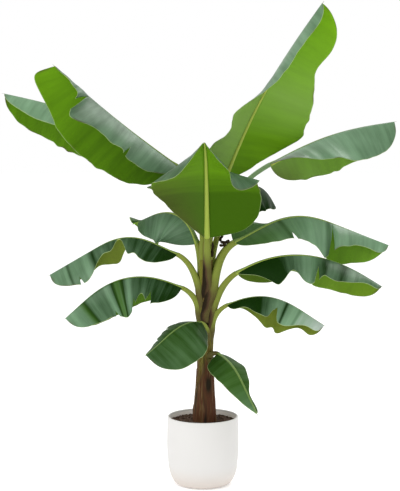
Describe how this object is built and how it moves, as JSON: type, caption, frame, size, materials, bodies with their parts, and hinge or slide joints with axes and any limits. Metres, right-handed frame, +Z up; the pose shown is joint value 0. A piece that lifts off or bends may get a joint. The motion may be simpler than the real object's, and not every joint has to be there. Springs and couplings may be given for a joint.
{
  "type": "potted banana plant",
  "caption": "Potted banana plant: a leaning sheathed pseudostem with arching petioles and broad torn leaves, rooted in a round pot of soil that stands on its flat underside.",
  "frame": {"origin": "centre of the pot's flat underside", "axes": "+Z up along the plant, +X to the right and +Y away from the viewer in the picture"},
  "size_m": [1.2333, 0.8768, 1.4779],
  "materials": {
    "pot": "fine matte off-white",
    "soil": "loose moist potting mix",
    "stem": "dry fibrous sheaths, brown below and olive above",
    "petiole": "smooth satin, pale yellow-green",
    "blade": "satin leaf with fine cross veins and a pale rib"
  },
  "bodies": {
    "root": {"pot": "pot", "soil": "soil", "pseudostem": "stem", "leaf_top_petiole": "petiole", "leaf_top_blade": "blade", "leaf_left_high_petiole": "petiole", "leaf_left_high_blade": "blade", "leaf_left_far_petiole": "petiole", "leaf_left_far_blade": "blade", "leaf_right_high_petiole": "petiole", "leaf_right_high_blade": "blade", "leaf_front_petiole": "petiole", "leaf_front_inner": "blade", "leaf_front_outer": "blade", "leaf_back_petiole": "petiole", "leaf_back_inner": "blade", "leaf_back_outer": "blade", "leaf_back_right_petiole": "petiole", "leaf_back_right_inner": "blade", "leaf_back_right_outer": "blade", "leaf_back_left_petiole": "petiole", "leaf_back_left_inner": "blade", "leaf_back_left_outer": "blade", "leaf_right_upper_petiole": "petiole", "leaf_right_upper_inner": "blade", "leaf_right_upper_outer": "blade", "leaf_left_upper_petiole": "petiole", "leaf_left_upper_inner": "blade", "leaf_left_upper_outer": "blade", "leaf_right_middle_petiole": "petiole", "leaf_right_middle_inner": "blade", "leaf_right_middle_outer": "blade", "leaf_left_middle_petiole": "petiole", "leaf_left_middle_inner": "blade", "leaf_left_middle_outer": "blade", "leaf_right_lower_petiole": "petiole", "leaf_right_lower_inner": "blade", "leaf_right_lower_outer": "blade", "leaf_low_left_petiole": "petiole", "leaf_low_left_inner": "blade", "leaf_low_left_outer": "blade", "leaf_low_right_petiole": "petiole", "leaf_low_right_inner": "blade", "leaf_low_right_outer": "blade"}
  },
  "joints": []
}
